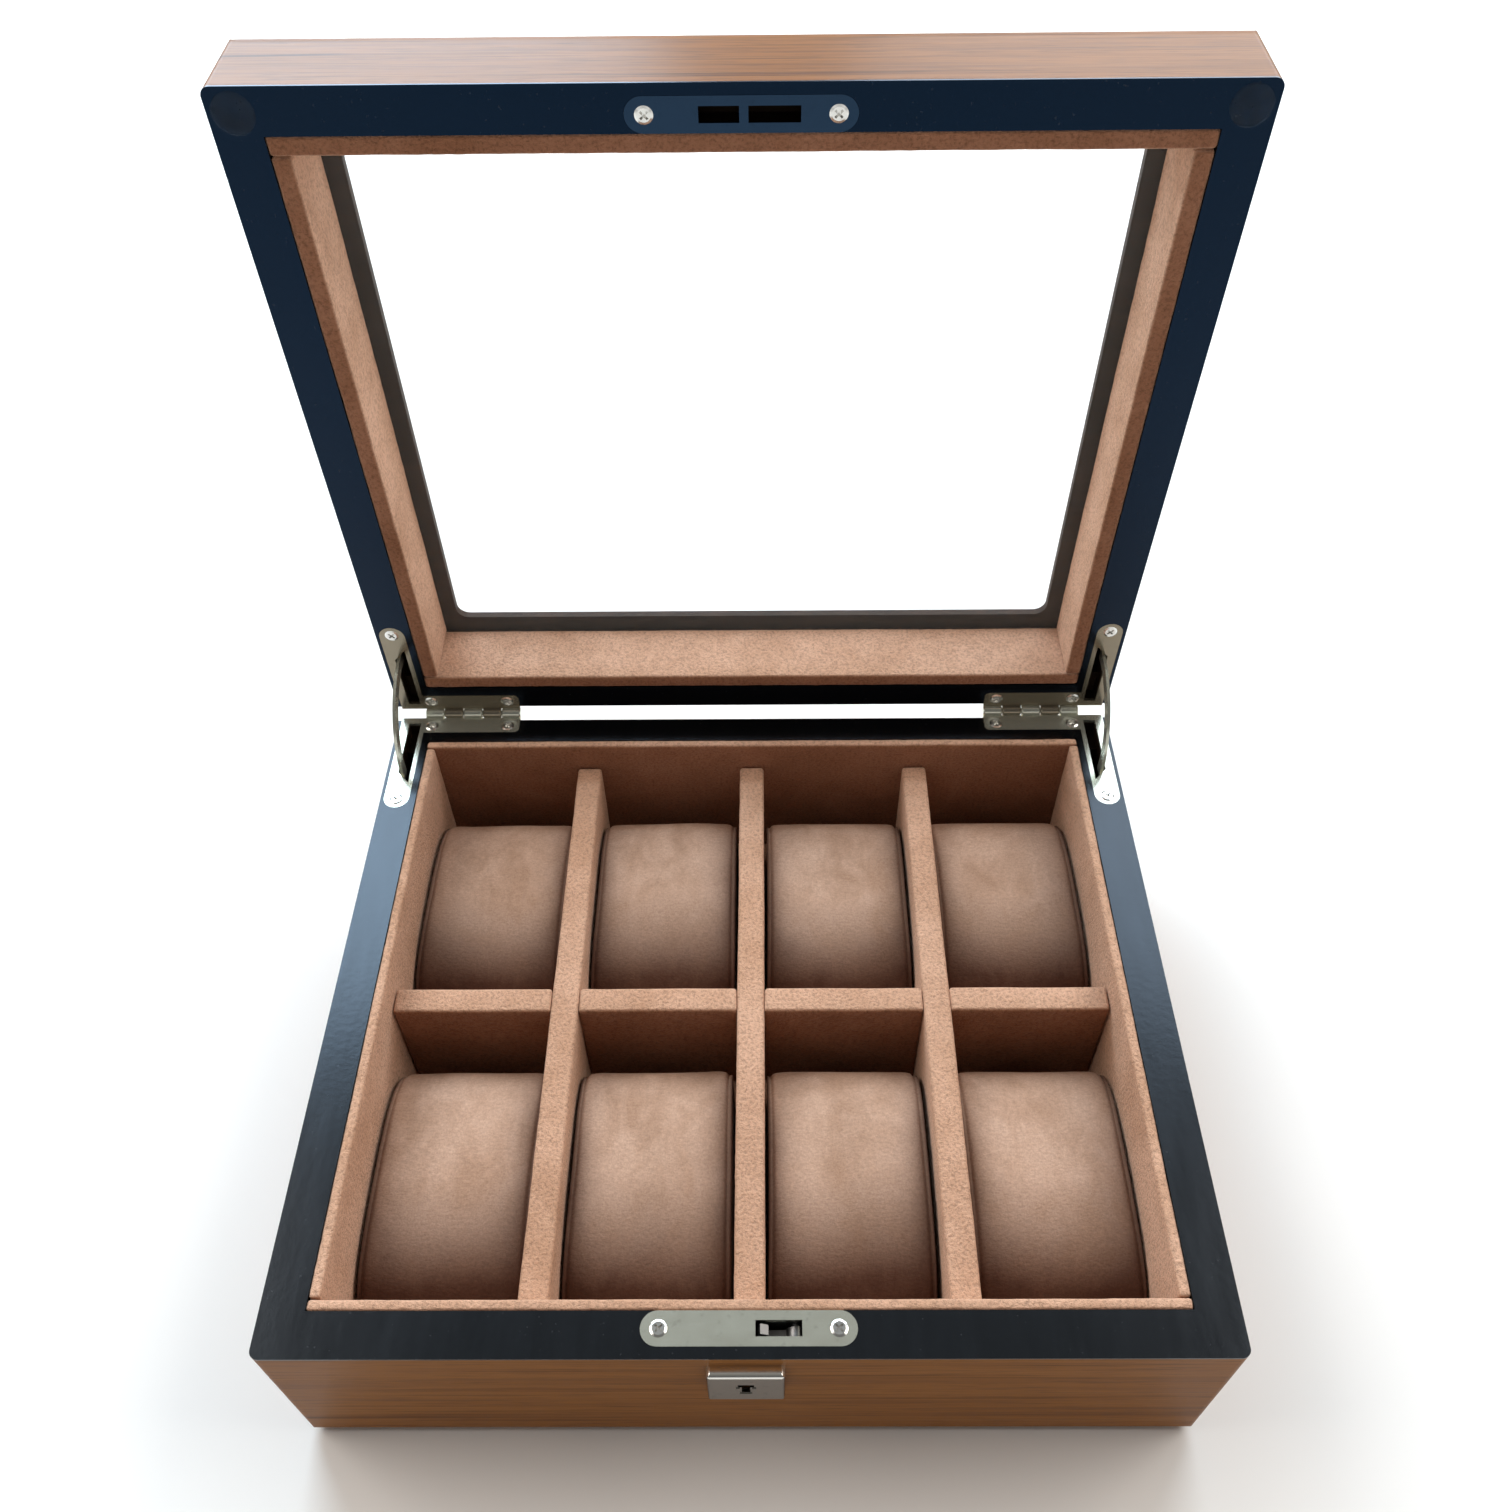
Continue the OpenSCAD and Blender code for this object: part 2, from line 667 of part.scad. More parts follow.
module lock_hook() {
  color(nickel) on_lock(pivot_x, pivot_z, hook_t) difference() {
    union() {
      circle(hook_hub_r);
      ring_sector(hook_in_r, hook_out_r, hook_rest, hook_web[1]);
      ring_sector(0, hook_out_r - 1, hook_web[0], hook_web[1]);
    }
    circle(pivot_r + lock_clear);
  }
}

module key_barrel() {
  color(nickel) difference() {
    union() {
      on_lock(key_x, key_z, case_d) circle(barrel_r);
      on_lock(key_x, key_z, hook_t) ring_sector(0, nib_r, -nib_a, nib_a);
    }
    on_lock(key_x, key_z, case_d + 2 * cut) keyway_outline();
  }
}

module lock_screws() { color(nickel) at_plate_screws(base_h) screw(); }

// a chrome block with softened edges, a recess round the keyway and the keyway right through
module escutcheon() {
  color(nickel) difference() {
    translate([key_x, -half_d, key_z]) intersection() {
      rotate([90, 0, 0]) linear_extrude(scut_t) rounded_rect(scut_w, scut_h, scut_r);
      rotate([0, 0, 180]) linear_extrude(scut_h, center = true) round_top(scut_w);
      rotate([0, 90, 0]) linear_extrude(scut_w, center = true) mirror([0, 1]) round_top(scut_h);
    }
    translate([key_x, -half_d, key_z]) rotate([90, 0, 0]) {
      translate([0, 0, -cut]) linear_extrude(scut_t + 2 * cut) keyway_outline();
      translate([0, 0, scut_t - keyway_sink]) linear_extrude(cut) keyway_outline(keyway_rim);
    }
  }
}

// outline that stands scut_t high on the X axis, with its two upper corners rounded
module round_top(w) {
  translate([-w / 2, 0]) square([w, scut_t - scut_r]);
  translate([-w / 2 + scut_r, 0]) square([w - 2 * scut_r, scut_t]);
  for (s = [-1, 1]) translate([s * (w / 2 - scut_r), scut_t - scut_r]) circle(scut_r);
}

// lid, drawn shut and posed open

module lid_wall(side) {
  color(walnut) lid_pose() intersection() {
    difference() {
      translate([0, 0, lid_z + rim_t]) linear_extrude(lid_h - rim_t - frame_t) difference() {
        rounded_rect(body_w, body_d, corner_r);
        square([2 * in_w, 2 * in_d], center = true);
      }
      lid_cuts();
    }
    mitre_prism(side, lid_z, lid_top);
  }
}

module lid_cuts() {
  flip_to_lid() {
    rear_bevel_cut();
    both_sides() hinge_cuts();
  }
  strike_cuts();
}

module lid_front_wall() { lid_wall(0); }
module lid_right_wall() { lid_wall(1); }
module lid_back_wall() { lid_wall(2); }
module lid_left_wall() { lid_wall(3); }

module lid_rim() {
  color(lacquer) lid_pose() difference() {
    translate([0, 0, lid_z]) linear_extrude(rim_t) difference() {
      rounded_rect(body_w, body_d, corner_r);
      square([2 * in_w, 2 * in_d], center = true);
    }
    lid_cuts();
  }
}

module lid_top_frame() {
  glass_w = lid_well_w + glass_over;
  glass_d = lid_well_d + glass_over;
  color(walnut) lid_pose() difference() {
    translate([0, 0, lid_top]) mirror([0, 0, 1]) intersection() {
      rounded_block(lid_h);
      box_between([-body_w, -body_d, 0], [body_w, body_d, frame_t]);
    }
    translate([0, 0, frame_z - cut]) linear_extrude(frame_t + 2 * cut)
      rounded_rect(2 * (lid_well_w - frame_lip), 2 * (lid_well_d - frame_lip), window_r);
    box_between([-glass_w, -glass_d, frame_z - cut], [glass_w, glass_d, frame_z + glass_t]);
    flip_to_lid() both_sides() hinge_cuts();
  }
}

module glass_pane() {
  w = lid_well_w + glass_over - glass_gap;
  d = lid_well_d + glass_over - glass_gap;
  color(clear) lid_pose() box_between([-w, -d, frame_z], [w, d, frame_z + glass_t]);
}

module lid_lining_front() { lid_pose() lining_across(-1, lid_lining_t, lid_z, frame_z); }
module lid_lining_back() { lid_pose() lining_across(1, lid_lining_t, lid_z, frame_z); }
module lid_lining_left() { lid_pose() lining_along(-1, lid_lining_t, lid_z, frame_z); }
module lid_lining_right() { lid_pose() lining_along(1, lid_lining_t, lid_z, frame_z); }

module hinge_leaf_lid_right() {
  color(nickel) lid_pose() flip_to_lid() hinge_leaf([1, 3], pin_r + pin_clear);
}
module hinge_leaf_lid_left() { mirror([1, 0, 0]) hinge_leaf_lid_right(); }

module hinge_screws_lid() {
  color(nickel) lid_pose() flip_to_lid() both_sides() at_hinge_screws() screw();
}

module strike_plate() {
  color(nickel) lid_pose() difference() {
    translate([0, plate_y, lid_z]) linear_extrude(strike_t) difference() {
      stadium(plate_l, plate_w);
      hook_slot_outline(hook_slot_x, hook_slot_l + strike_spare);
      hook_slot_outline(hook_slot_x - spare_slot_gap - spare_slot_l, spare_slot_l);
    }
    flip_to_lid() at_plate_screws(base_h) screw_hole();
  }
}

module strike_screws() {
  color(nickel) lid_pose() flip_to_lid() at_plate_screws(base_h) screw();
}

module bumper_pads() {
  color(clear) lid_pose() both_sides()
    translate([half_w - bumper_inset, bumper_inset - half_d, lid_z - bumper_t]) cylinder(h = bumper_t, r = bumper_r);
}

base_front_wall();
base_back_wall();
base_left_wall();
base_right_wall();
base_rim();
base_bottom_panel();
base_felt();
floor_pad();
base_lining_front();
base_lining_back();
base_lining_left();
base_lining_right();
divider_left();
divider_centre();
divider_right();
divider_cross();
cushion(0, 0);  // cushion_front_1
cushion(1, 0);  // cushion_front_2
cushion(2, 0);  // cushion_front_3
cushion(3, 0);  // cushion_front_4
cushion(0, 1);  // cushion_back_1
cushion(1, 1);  // cushion_back_2
cushion(2, 1);  // cushion_back_3
cushion(3, 1);  // cushion_back_4
hinge_leaf_base_left();
hinge_leaf_base_right();
hinge_pin_left();
hinge_pin_right();
hinge_screws_base();
hinge_stay_left();
hinge_stay_right();
lock_faceplate();
lock_case();
lock_pivot();
lock_hook();
key_barrel();
lock_screws();
escutcheon();
lid_front_wall();
lid_back_wall();
lid_left_wall();
lid_right_wall();
lid_rim();
lid_top_frame();
glass_pane();
lid_lining_front();
lid_lining_back();
lid_lining_left();
lid_lining_right();
hinge_leaf_lid_left();
hinge_leaf_lid_right();
hinge_screws_lid();
strike_plate();
strike_screws();
bumper_pads();
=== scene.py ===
"""Looks for the watch box: suede cushions, velvet boards, veneer, lacquer and nickel."""

import math

import bmesh
import bpy
from mathutils import Matrix, Vector, noise


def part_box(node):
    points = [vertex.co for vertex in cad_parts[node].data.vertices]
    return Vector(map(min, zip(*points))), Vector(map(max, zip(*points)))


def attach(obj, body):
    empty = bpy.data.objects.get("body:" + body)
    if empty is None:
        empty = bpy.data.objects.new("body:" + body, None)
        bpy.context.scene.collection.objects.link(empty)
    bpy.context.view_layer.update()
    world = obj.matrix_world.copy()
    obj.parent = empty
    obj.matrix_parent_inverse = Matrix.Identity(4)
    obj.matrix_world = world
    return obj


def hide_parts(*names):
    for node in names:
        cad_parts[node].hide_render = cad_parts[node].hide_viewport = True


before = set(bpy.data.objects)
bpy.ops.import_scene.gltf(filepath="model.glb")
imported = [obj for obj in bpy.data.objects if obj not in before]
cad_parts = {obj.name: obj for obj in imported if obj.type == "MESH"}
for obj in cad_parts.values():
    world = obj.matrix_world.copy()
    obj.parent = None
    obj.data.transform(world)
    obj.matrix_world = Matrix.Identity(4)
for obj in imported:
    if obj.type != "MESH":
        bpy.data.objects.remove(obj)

noise.seed_set(3)        # noise_vector starts from the clock without this

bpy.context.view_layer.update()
MM = 0.001


# ---------------------------------------------------------------- places read from the frame

def span(node, axis):
    lo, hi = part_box(node)
    return lo[axis], hi[axis]


PIN_Y = sum(span("hinge_pin_right", 1)) / 2
PIN_Z = sum(span("hinge_pin_right", 2)) / 2
LID_OPEN = math.radians(88)
OPEN_LID = (Matrix.Translation((0, PIN_Y, PIN_Z)) @ Matrix.Rotation(-LID_OPEN, 4, "X")
            @ Matrix.Translation((0, -PIN_Y, -PIN_Z)))
CUSHIONS = [f"cushion_{row}_{n}" for row in ("front", "back") for n in (1, 2, 3, 4)]


# ---------------------------------------------------------------- materials

def live(sockets, name):
    """A Mix node has several sockets of each name: this is the one that its data type uses."""
    return next(s for s in sockets if s.name == name and s.enabled)


class Finish:
    """A node material round one Principled shader, with short calls for the nodes that it uses."""

    def __init__(self, name, **sockets):
        self.mat = bpy.data.materials.new(name)
        self.mat.use_nodes = True
        self.nodes = self.mat.node_tree.nodes
        self.link = self.mat.node_tree.links.new
        self.shader = self.nodes["Principled BSDF"]
        for key, value in sockets.items():
            self.shader.inputs[key.replace("_", " ")].default_value = value

    def node(self, kind, **settings):
        made = self.nodes.new("ShaderNode" + kind)
        for key, value in settings.items():
            setattr(made, key, value)
        return made

    def place(self, scale=(1, 1, 1), shift=(0, 0, 0)):
        """Object coordinates, in metres, times scale."""
        mapping = self.node("Mapping")
        mapping.inputs["Scale"].default_value = scale
        mapping.inputs["Location"].default_value = shift
        self.link(self.node("TexCoord").outputs["Object"], mapping.inputs["Vector"])
        return mapping.outputs["Vector"]

    def noise(self, where, scale, detail=2.0, roughness=0.5, distortion=0.0):
        made = self.node("TexNoise")
        made.inputs["Scale"].default_value = scale
        made.inputs["Detail"].default_value = detail
        made.inputs["Roughness"].default_value = roughness
        made.inputs["Distortion"].default_value = distortion
        self.link(where, made.inputs["Vector"])
        return made.outputs["Fac"]

    def ramp(self, value, *stops):
        made = self.node("ValToRGB")
        bar = made.color_ramp.elements
        while len(bar) < len(stops):
            bar.new(0.5)
        for element, (at, colour) in zip(bar, stops):
            element.position = at
            element.color = (*colour, 1) if hasattr(colour, "__len__") else (colour, colour, colour, 1)
        self.link(value, made.inputs["Fac"])
        return made.outputs["Color"]

    def mix(self, a, b, factor, blend="MIX"):
        made = self.node("Mix", data_type="RGBA", blend_type=blend)
        for name, value in (("A", a), ("B", b), ("Factor", factor)):
            socket = live(made.inputs, name)
            if isinstance(value, bpy.types.NodeSocket):
                self.link(value, socket)
            else:
                socket.default_value = (*value, 1) if hasattr(value, "__len__") else value
        return live(made.outputs, "Result")

    def sum(self, *values):
        """values are (socket, weight) pairs."""
        total = None
        for socket, weight in values:
            term = self.maths("MULTIPLY", socket, weight)
            total = term if total is None else self.maths("ADD", total, term)
        return total

    def maths(self, operation, a, b=0.0):
        made = self.node("Math", operation=operation)
        for socket, value in zip(made.inputs, (a, b)):
            if isinstance(value, bpy.types.NodeSocket):
                self.link(value, socket)
            else:
                socket.default_value = value
        return made.outputs[0]

    def upright(self, node):
        """1 on the upright members of a mitred frame that stands on edge, 0 on the level ones."""
        lo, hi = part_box(node)
        split = self.node("SeparateXYZ")
        self.link(self.node("TexCoord").outputs["Object"], split.inputs["Vector"])
        across = self.maths("ABSOLUTE", split.outputs["X"])
        height = self.maths("ABSOLUTE", self.maths("SUBTRACT", split.outputs["Z"], (lo[2] + hi[2]) / 2))
        mitre = hi[0] - (hi[2] - lo[2]) / 2
        return self.maths("GREATER_THAN", self.maths("SUBTRACT", across, height), mitre)

    def facing(self, axis, low, high):
        """How far the surface faces along an axis: 0 at the low share of the normal, 1 at the high."""
        split = self.node("SeparateXYZ")
        spread = self.node("MapRange")
        spread.inputs["From Min"].default_value = low
        spread.inputs["From Max"].default_value = high
        self.link(self.node("TexCoord").outputs["Normal"], split.inputs["Vector"])
        self.link(split.outputs[axis], spread.inputs["Value"])
        return spread.outputs["Result"]

    def colour(self, socket):
        self.link(socket, self.shader.inputs["Base Color"])

    def roughness(self, value, low, high):
        spread = self.node("MapRange")
        spread.inputs["To Min"].default_value = low
        spread.inputs["To Max"].default_value = high
        self.link(value, spread.inputs["Value"])
        self.link(spread.outputs["Result"], self.shader.inputs["Roughness"])

    def bump(self, height, distance, strength=1.0):
        made = self.node("Bump")
        made.inputs["Distance"].default_value = distance
        made.inputs["Strength"].default_value = strength
        self.link(height, made.inputs["Height"])
        self.link(made.outputs["Normal"], self.shader.inputs["Normal"])


def veneer(name, along, light, dark, pore, shift=0.0, coat=0.05, mitred=None):
    """Walnut veneer whose grain runs along an axis. On a mitred frame it turns into the uprights."""
    def placed(across, lengthways, axis):
        scale = [across] * 3
        scale[axis] = lengthways
        return f.place(scale, shift)

    def stretched(across, lengthways):
        level = placed(across, lengthways, along)
        if mitred is None:
            return level
        return f.mix(level, placed(across, lengthways, 2), f.upright(mitred))

    f = Finish(name, Specular_IOR_Level=0.06, Coat_Weight=coat, Coat_Roughness=0.2, Coat_IOR=1.5)
    shift = (shift, shift * 1.7, shift * 0.6)
    figure = f.noise(stretched(80, 3.0), 1.0, 4, 0.55, 0.9)
    bands = f.noise(stretched(520, 6), 1.0, 4, 0.65, 0.3)
    pores = f.noise(stretched(2300, 60), 1.0, 2, 0.6, 0.2)
    ground = f.ramp(f.sum((figure, 0.5), (bands, 0.5)), (0.36, dark), (0.5, light), (0.64, dark))
    streak = f.ramp(bands, (0.58, 0.0), (0.68, 1.0))
    with_streaks = f.mix(ground, pore, f.sum((streak, 0.6)))
    speck = f.ramp(pores, (0.55, 0.0), (0.66, 1.0))
    f.colour(f.mix(with_streaks, pore, f.sum((speck, 0.45))))
    f.roughness(bands, 0.34, 0.5)
    f.bump(f.sum((pores, -1.0), (bands, 0.4)), 0.04 * MM)
    return f.mat


def lacquer(name, reflection_tint, gloss):
    """Satin black lacquer with faint orange peel, dust and rubbing marks, whose reflections are tinted
    with a painted blue of the reflected sky.
    """
    f = Finish(name, Specular_IOR_Level=gloss, Specular_Tint=(*reflection_tint, 1))
    peel = f.noise(f.place(), 420, 2, 0.5)
    rub = f.noise(f.place((60, 9, 60)), 3.0, 5, 0.65)
    dust = f.noise(f.place(), 900, 1, 0.4)
    f.colour(f.ramp(dust, (0.73, (0.0022, 0.0022, 0.0024)), (0.8, (0.02, 0.02, 0.021))))
    f.roughness(rub, 0.13, 0.27)
    f.bump(peel, 0.02 * MM)
    return f.mat


def velvet(name, lit, worn, sheen, grain=2600):
    """Short velvet pile: brushed patches, fine speckle and a soft sheen."""
    f = Finish(name, Roughness=0.95, Sheen_Weight=sheen, Sheen_Roughness=0.32,
               Sheen_Tint=(1.0, 0.78, 0.62, 1), Specular_IOR_Level=0.05)
    brushed = f.noise(f.place(), 55, 4, 0.6, 0.6)
    patches = f.noise(f.place((1, 1, 1), (3, 1, 2)), 16, 3, 0.5, 0.3)
    pile = f.noise(f.place(), grain, 2, 0.7)
    tufts = f.noise(f.place(), grain * 0.34, 3, 0.65)
    open_ground = f.ramp(f.sum((brushed, 0.5), (patches, 0.5)), (0.36, worn), (0.6, lit))
    # painted shade: faces that look to the front are darker
    ground = f.mix(open_ground, PAINTED_FRONT_SHADE, f.facing("Y", -0.25, -0.95), "MULTIPLY")
    shade = f.ramp(f.sum((pile, 0.35), (tufts, 0.65)), (0.37, 0.6), (0.5, 0.9), (0.6, 1.0))
    f.colour(f.mix(ground, shade, 1.0, "MULTIPLY"))
    f.bump(f.sum((pile, 0.3), (tufts, 1.0)), 0.8 * MM, 0.9)
    return f.mat


def suede(name, lit, worn, edge, grain=1900):
    """Suede with brushed pile, and painted shade towards the edge colour where an attribute of the mesh
    goes from 0 to 1.
    """
    f = Finish(name, Roughness=0.92, Sheen_Weight=0.17, Sheen_Roughness=0.35,
               Sheen_Tint=(1.0, 0.82, 0.7, 1), Specular_IOR_Level=0.06)
    brushed = f.noise(f.place((1.0, 0.55, 0.55)), 75, 4, 0.62, 0.8)
    patches = f.noise(f.place(), 28, 3, 0.55, 0.4)
    pile = f.noise(f.place((1.0, 0.6, 0.6)), grain, 2, 0.65)
    tufts = f.noise(f.place((0.6, 1.0, 1.0)), grain * 0.55, 3, 0.6)
    open_ground = f.ramp(f.sum((brushed, 0.45), (patches, 0.55)), (0.38, worn), (0.58, lit))
    # painted shade: faces that look to the front are darker
    ground = f.mix(open_ground, PAINTED_FRONT_SHADE, f.facing("Y", -0.25, -0.95), "MULTIPLY")
    # painted shade at the seams and low on the front, read from the mesh and mixed towards the edge
    # colour
    painted_shade = f.node("Attribute", attribute_name="painted_shade", attribute_type="GEOMETRY")
    painted_shade_mask = f.sum((painted_shade.outputs["Fac"], 0.7), (brushed, 0.2), (patches, 0.2))
    with_painted_shade = f.mix(ground, edge, f.ramp(painted_shade_mask, (0.22, 0.0), (0.55, 0.42), (0.9, 0.95)))
    shade = f.ramp(f.sum((pile, 0.5), (tufts, 0.5)), (0.36, 0.74), (0.64, 1.0))
    f.colour(f.mix(with_painted_shade, shade, 1.0, "MULTIPLY"))
    f.bump(f.sum((tufts, 1.0), (brushed, 0.9)), 0.3 * MM, 0.8)
    return f.mat


def metal(name, colour, rough, brushed=None, grime=0.12, top_highlight=None, metallic=1.0):
    """Plated metal: fine polishing lines along brushed, an uneven polish and darker, duller spots.

    If a highlight colour is given, the faces and edges that look up take it: a painted highlight.
    """
    f = Finish(name, Metallic=metallic)
    scale = [1.0, 1.0, 1.0]
    if brushed is not None:
        scale = [30.0, 30.0, 30.0]
        scale[brushed] = 1.0
    lines = f.noise(f.place(scale), 160 if brushed is not None else 700, 3, 0.6)
    cloud = f.noise(f.place(), 130, 3, 0.55)
    spots = f.ramp(f.noise(f.place((1, 1, 1), (2, 5, 1)), 420, 2, 0.5), (0.6, 0.0), (0.72, 1.0))
    dull = [c * 0.55 for c in colour]
    plate = f.mix(colour, dull, f.sum((spots, grime * 2), (cloud, grime)))
    # painted highlight: faces that look up are lighter
    f.colour(f.mix(plate, top_highlight, f.facing("Z", 0.15, 0.6)) if top_highlight else plate)
    f.roughness(f.sum((lines, 0.5), (cloud, 0.5)), rough * 0.6, rough * 1.5)
    f.bump(lines, 0.006 * MM, 0.5)
    return f.mat


def felt_finish():
    f = Finish("felt", Roughness=1.0, Sheen_Weight=0.3, Sheen_Roughness=0.6)
    fibre = f.noise(f.place(), 1500, 4, 0.7)
    f.colour(f.ramp(fibre, (0.35, (0.012, 0.012, 0.014)), (0.65, (0.05, 0.048, 0.05))))
    f.bump(fibre, 0.4 * MM)
    return f.mat


def glass_finish():
    """Clear float glass, thin enough not to bend the view, with faint wiping marks."""
    f = Finish("glass", Alpha=0.07, Specular_IOR_Level=0.6, IOR=1.5)
    wipes = f.noise(f.place((3, 1, 1)), 18, 4, 0.6, 0.5)
    f.colour(f.ramp(wipes, (0.3, (0.86, 0.95, 0.93)), (0.7, (0.95, 1.0, 0.99))))
    f.roughness(wipes, 0.01, 0.05)
    return f.mat


def pad_finish():
    f = Finish("clear_pad", Alpha=0.04, Specular_IOR_Level=0.15)
    cloud = f.noise(f.place(), 600, 2, 0.5)
    f.colour(f.ramp(cloud, (0.3, (0.25, 0.3, 0.36)), (0.7, (0.4, 0.45, 0.5))))
    f.roughness(cloud, 0.25, 0.45)
    return f.mat


def ring_finish():
    """The dark, stained wood of the window frame where it looks into the lid."""
    f = Finish("dark_frame", Roughness=0.6, Specular_IOR_Level=0.1)
    stain = f.noise(f.place((1, 1, 9)), 60, 4, 0.6)
    f.colour(f.ramp(stain, (0.35, (0.012, 0.006, 0.004)), (0.65, (0.035, 0.017, 0.011))))
    f.bump(stain, 0.05 * MM)
    return f.mat


def board_finish():
    f = Finish("plain_board", Roughness=0.7)
    chips = f.noise(f.place((1, 4, 1)), 220, 4, 0.6)
    f.colour(f.ramp(chips, (0.35, (0.14, 0.08, 0.045)), (0.65, (0.25, 0.16, 0.1))))
    f.bump(chips, 0.1 * MM)
    return f.mat


PAINTED_FRONT_SHADE = (0.5, 0.38, 0.32)            # painted shade, multiplied into velvet and suede on faces that look to the front
WALNUT = dict(light=(0.26, 0.096, 0.016), dark=(0.155, 0.052, 0.008), pore=(0.045, 0.015, 0.004))
SHADED_WOOD = dict(light=(0.02, 0.012, 0.007), dark=(0.012, 0.007, 0.004), pore=(0.004, 0.003, 0.002))
FRONT_GRAIN = veneer("walnut_front", 0, shift=0.0, **WALNUT)
SIDE_GRAIN = veneer("walnut_sides", 1, shift=3.1, **WALNUT)
LID_FRONT_GRAIN = veneer("walnut_lid_front", 0, shift=1.4, coat=0.16, **WALNUT)
LID_SIDE_GRAIN = veneer("walnut_lid_sides", 2, shift=5.3, coat=0.11, **WALNUT)
FRAME_GRAIN = veneer("walnut_window_frame", 0, shift=2.2, mitred="lid_top_frame", **WALNUT)
RING = ring_finish()
# the tints are painted blue reflection colour, much stronger on the lid
BASE_LACQUER = lacquer("lacquer_base", (0.76, 0.87, 1.0), 0.6)
LID_LACQUER = lacquer("lacquer_lid", (0.16, 0.46, 1.0), 0.33)
VELVET = velvet("velvet", (0.72, 0.435, 0.295), (0.57, 0.325, 0.205), 0.22)
# the third colour of each suede is painted shade
SUEDE = suede("suede", (0.61, 0.405, 0.295), (0.45, 0.28, 0.19), (0.06, 0.022, 0.013))
PIPING = suede("suede_piping", (0.6, 0.385, 0.28), (0.42, 0.245, 0.17), (0.1, 0.045, 0.03), 2600)
NICKEL = metal("nickel", (0.62, 0.62, 0.52), 0.2, metallic=0.8)
# a darker, warmer copy of the nickel for the lid's leaves: painted shade
SHADED_LID_NICKEL = metal("lid_nickel", (0.3, 0.26, 0.19), 0.2, metallic=0.8)
SATIN = metal("satin_nickel", (0.84, 0.84, 0.7), 0.22, brushed=0)
DARK_NICKEL = metal("dark_nickel", (0.02, 0.04, 0.072), 0.2, brushed=0)
CHROME = metal("chrome", (0.78, 0.77, 0.73), 0.2, grime=0.15)
# the plate colour is darkened to copy the dim reflection on the front (painted shade), and the faces that
# look up get a painted highlight
ESCUTCHEON = metal("escutcheon", (0.19, 0.172, 0.15), 0.17, grime=0.3, top_highlight=(0.95, 0.93, 0.86))
# the lock steel is darkened so that the hook in the slot looks shaded: painted shade
SHADED_LOCK_STEEL = metal("lock_steel", (0.2, 0.195, 0.19), 0.35)
FELT = felt_finish()
# painted shade for the pockets in the walls
PAINTED_HOLLOW_SHADE = veneer("hollow_shade", 0, **SHADED_WOOD)
GLASS = glass_finish()
PAD = pad_finish()
BOARD = board_finish()


def dress(node, *materials):
    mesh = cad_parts[node].data
    mesh.materials.clear()
    for material in materials:
        mesh.materials.append(material)


for node_name, finish in {
    "base_front_wall": FRONT_GRAIN, "base_back_wall": FRONT_GRAIN,
    "base_left_wall": SIDE_GRAIN, "base_right_wall": SIDE_GRAIN,
    "lid_front_wall": LID_FRONT_GRAIN, "lid_back_wall": FRONT_GRAIN,
    "lid_left_wall": LID_SIDE_GRAIN, "lid_right_wall": LID_SIDE_GRAIN,
    "base_rim": BASE_LACQUER, "lid_rim": LID_LACQUER,
    "base_bottom_panel": BOARD, "base_felt": FELT, "floor_pad": VELVET,
    "lock_faceplate": SATIN, "strike_plate": DARK_NICKEL,
    "lock_screws": CHROME, "strike_screws": CHROME,
    "lock_case": SHADED_LOCK_STEEL, "lock_pivot": SHADED_LOCK_STEEL, "lock_hook": SHADED_LOCK_STEEL, "key_barrel": SHADED_LOCK_STEEL,
    "escutcheon": ESCUTCHEON, "glass_pane": GLASS, "bumper_pads": PAD,
    "hinge_leaf_base_left": NICKEL, "hinge_leaf_base_right": NICKEL,
    "hinge_leaf_lid_left": SHADED_LID_NICKEL, "hinge_leaf_lid_right": SHADED_LID_NICKEL,
    "hinge_pin_left": NICKEL, "hinge_pin_right": NICKEL,
    "hinge_stay_left": NICKEL, "hinge_stay_right": NICKEL,
    "hinge_screws_base": CHROME, "hinge_screws_lid": CHROME,
}.items():
    dress(node_name, finish)


def soften_edges(node, width, segments=2):
    """A narrow bevel along the sharp edges, which catches the light."""
    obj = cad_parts[node]
    flat = obj.modifiers.new("flat", "DECIMATE")
    flat.decimate_type = "DISSOLVE"
    flat.angle_limit = math.radians(1)
    bevel = obj.modifiers.new("edge", "BEVEL")
    bevel.width = width
    bevel.segments = segments
    bevel.limit_method = "ANGLE"
    bevel.angle_limit = math.radians(50)


PLATE_EDGE, LEAF_EDGE, ESCUTCHEON_EDGE = 0.3 * MM, 0.25 * MM, 0.6 * MM
for fitting in ("lock_faceplate", "strike_plate"):
    soften_edges(fitting, PLATE_EDGE)
for hinge_side in ("left", "right"):
    soften_edges(f"hinge_leaf_base_{hinge_side}", LEAF_EDGE)
    soften_edges(f"hinge_leaf_lid_{hinge_side}", LEAF_EDGE)
soften_edges("escutcheon", ESCUTCHEON_EDGE, 3)


SKIN = 0.9 * MM              # square faces further in than this belong to a hollow
ROUNDED_SKIN = 2.7 * MM      # and so do slanted or round ones further in than this
FOOT_Z = 10 * MM             # the base's walls have no hollows below this


